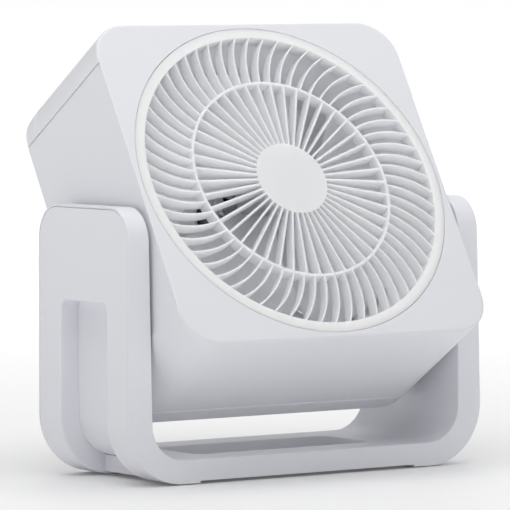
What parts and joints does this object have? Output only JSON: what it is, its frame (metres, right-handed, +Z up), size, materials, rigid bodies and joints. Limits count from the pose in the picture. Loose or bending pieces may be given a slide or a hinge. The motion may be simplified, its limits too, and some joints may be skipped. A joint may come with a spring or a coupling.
{
  "type": "box fan",
  "caption": "Square box fan head with a round ribbed grille, tilting between the arms of a U-shaped stand, with a rear speed knob.",
  "frame": {"origin": "on the floor, under the middle of the fan's overall box as it stands with its head leant back by 31.2 degrees", "axes": "+X to the right of someone who faces the fan, +Y away from them towards the back, +Z up"},
  "size_m": [0.3, 0.2408, 0.322],
  "materials": {
    "stand_white": "satin off-white moulded plastic with a fine spark texture",
    "housing_white": "satin off-white moulded plastic",
    "grille_white": "satin off-white moulded plastic, a little smoother than the housing",
    "blade_plastic": "smooth light grey moulded plastic",
    "knob_plastic": "satin off-white moulded plastic",
    "dark_plastic": "plain dark moulded plastic",
    "rubber": "matt black rubber",
    "screw_steel": "zinc-plated steel",
    "motor_steel": "pressed and turned steel",
    "lamination_steel": "stacked electrical steel sheets",
    "copper_wire": "enamelled copper wire",
    "bearing_bronze": "oiled sintered bronze"
  },
  "bodies": {
    "stand": {"stand_inner_shell": "stand_white", "stand_outer_shell": "stand_white", "rubber_foot_front_left": "rubber", "rubber_foot_front_right": "rubber", "rubber_foot_rear_left": "rubber", "rubber_foot_rear_right": "rubber", "stand_screw_front_left": "screw_steel", "stand_screw_front_right": "screw_steel", "stand_screw_rear_left": "screw_steel", "stand_screw_rear_right": "screw_steel"},
    "head": {"front_housing": "housing_white", "rear_cover": "housing_white", "side_cover_left": "housing_white", "side_cover_right": "housing_white", "fan_shroud": "housing_white", "pivot_trunnion_left": "housing_white", "pivot_trunnion_right": "housing_white", "front_grille": "grille_white", "rear_cover_screw_top_left": "screw_steel", "rear_cover_screw_top_right": "screw_steel", "rear_cover_screw_bottom_left": "screw_steel", "rear_cover_screw_bottom_right": "screw_steel", "shroud_screw_top_left": "screw_steel", "shroud_screw_top_right": "screw_steel", "shroud_screw_bottom_left": "screw_steel", "shroud_screw_bottom_right": "screw_steel", "pivot_screw_left": "screw_steel", "pivot_screw_right": "screw_steel", "pivot_keeper_washer_left": "screw_steel", "pivot_keeper_washer_right": "screw_steel", "tilt_friction_washer_left": "rubber", "tilt_friction_washer_right": "rubber", "motor_bolt_left": "screw_steel", "motor_bolt_right": "screw_steel", "motor_front_shield": "motor_steel", "motor_rear_shield": "motor_steel", "stator_core": "lamination_steel", "stator_windings": "copper_wire", "motor_front_bearing": "bearing_bronze", "motor_rear_bearing": "bearing_bronze", "speed_switch": "dark_plastic", "motor_capacitor": "dark_plastic", "cord_inlet": "knob_plastic"},
    "rotor": {"fan_blade": "blade_plastic", "motor_shaft": "motor_steel", "rotor_core": "lamination_steel", "blade_nut": "dark_plastic"},
    "knob": {"speed_knob": "knob_plastic", "speed_switch_shaft": "motor_steel"}
  },
  "joints": [
    {"name": "head_tilt", "type": "hinge", "parent": "stand", "child": "head", "pos_m": [0, -0.01039, 0.1668], "axis": [-1, 0, 0], "range_deg": [-41.2, 58.8]},
    {"name": "rotor_spin", "type": "hinge", "parent": "head", "child": "rotor", "pos_m": [0, -0.002, 0.18066], "axis": [0, -0.8554, 0.518], "continuous": true},
    {"name": "speed_knob_turn", "type": "hinge", "parent": "head", "child": "knob", "pos_m": [0.1, 0.10258, 0.23423], "axis": [0, -0.8554, 0.518], "range_deg": [0, 135]}
  ]
}
